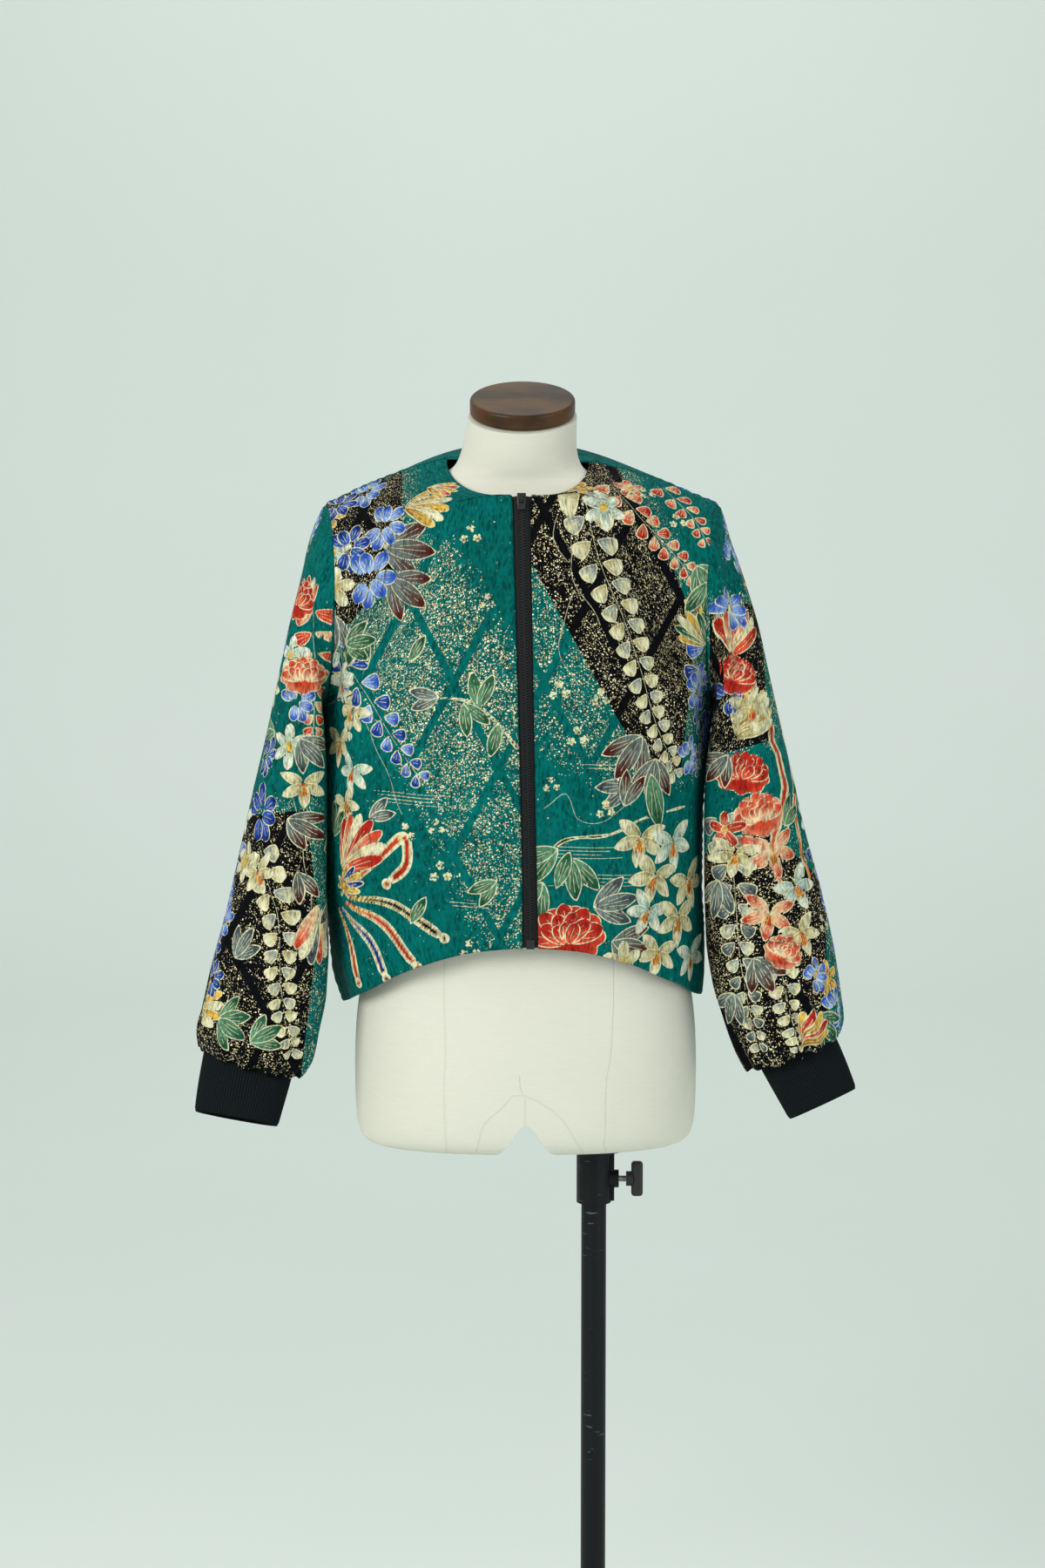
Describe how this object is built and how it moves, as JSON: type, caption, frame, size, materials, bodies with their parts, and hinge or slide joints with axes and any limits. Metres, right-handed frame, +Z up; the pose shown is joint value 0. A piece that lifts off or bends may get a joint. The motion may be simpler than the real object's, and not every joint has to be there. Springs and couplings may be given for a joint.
{
  "type": "kimono jacket on a dress form stand",
  "caption": "Collarless zip-front jacket of printed kimono crepe with ribbed cuffs, dressed on a limbless dress form that stands on a pole.",
  "frame": {"origin": "on the floor, on the underside of the base plate, under the form's middle plane", "axes": "+Z up, -Y the way the jacket faces, +X the wearer's left"},
  "size_m": [0.639, 0.42, 1.4169],
  "materials": {
    "printed_crepe": "crinkled crepe, satin sheen, dyed print",
    "black_rib": "matte knitted rib",
    "zip_tape": "matte woven tape",
    "zip_metal": "semi-gloss black",
    "linen_cover": "matte plain weave over a hard shell",
    "stained_wood": "dark stain, satin varnish",
    "painted_steel": "semi-gloss black, scratched",
    "bright_steel": "turned",
    "black_plastic": "moulded, fine texture"
  },
  "bodies": {
    "base": {"base_plate": "painted_steel", "base_socket": "painted_steel"},
    "mast": {"pole": "painted_steel"},
    "form": {"stand_sleeve": "painted_steel", "form_torso": "linen_cover", "neck_cap": "stained_wood", "jacket_front_right": "printed_crepe", "jacket_front_left": "printed_crepe", "jacket_back": "printed_crepe", "sleeve_right": "printed_crepe", "sleeve_left": "printed_crepe", "cuff_right": "black_rib", "cuff_left": "black_rib", "zip_tape_right": "zip_tape", "zip_tape_left": "zip_tape", "zip_chain_right": "zip_metal", "zip_chain_left": "zip_metal", "zip_bottom_box": "zip_metal", "zip_slider": "zip_metal"},
    "clamp": {"clamp_screw": "bright_steel", "clamp_knob": "black_plastic"},
    "pull": {"zip_pull_tab": "zip_metal"}
  },
  "joints": [
    {"name": "mast_turn", "type": "hinge", "parent": "base", "child": "mast", "pos_m": [0.067, 0, 0], "axis": [0, 0, 1], "continuous": true},
    {"name": "height_slide", "type": "slide", "parent": "mast", "child": "form", "axis": [0, 0, 1], "range_m": [-0.12, 0.2]},
    {"name": "clamp_turn", "type": "hinge", "parent": "form", "child": "clamp", "pos_m": [0.0914, 0, 0.64], "axis": [1, 0, 0], "continuous": true},
    {"name": "pull_swing", "type": "hinge", "parent": "form", "child": "pull", "pos_m": [-0.00392, -0.08545, 1.30998], "axis": [-1, 0, 0], "range_deg": [0, 150]}
  ]
}
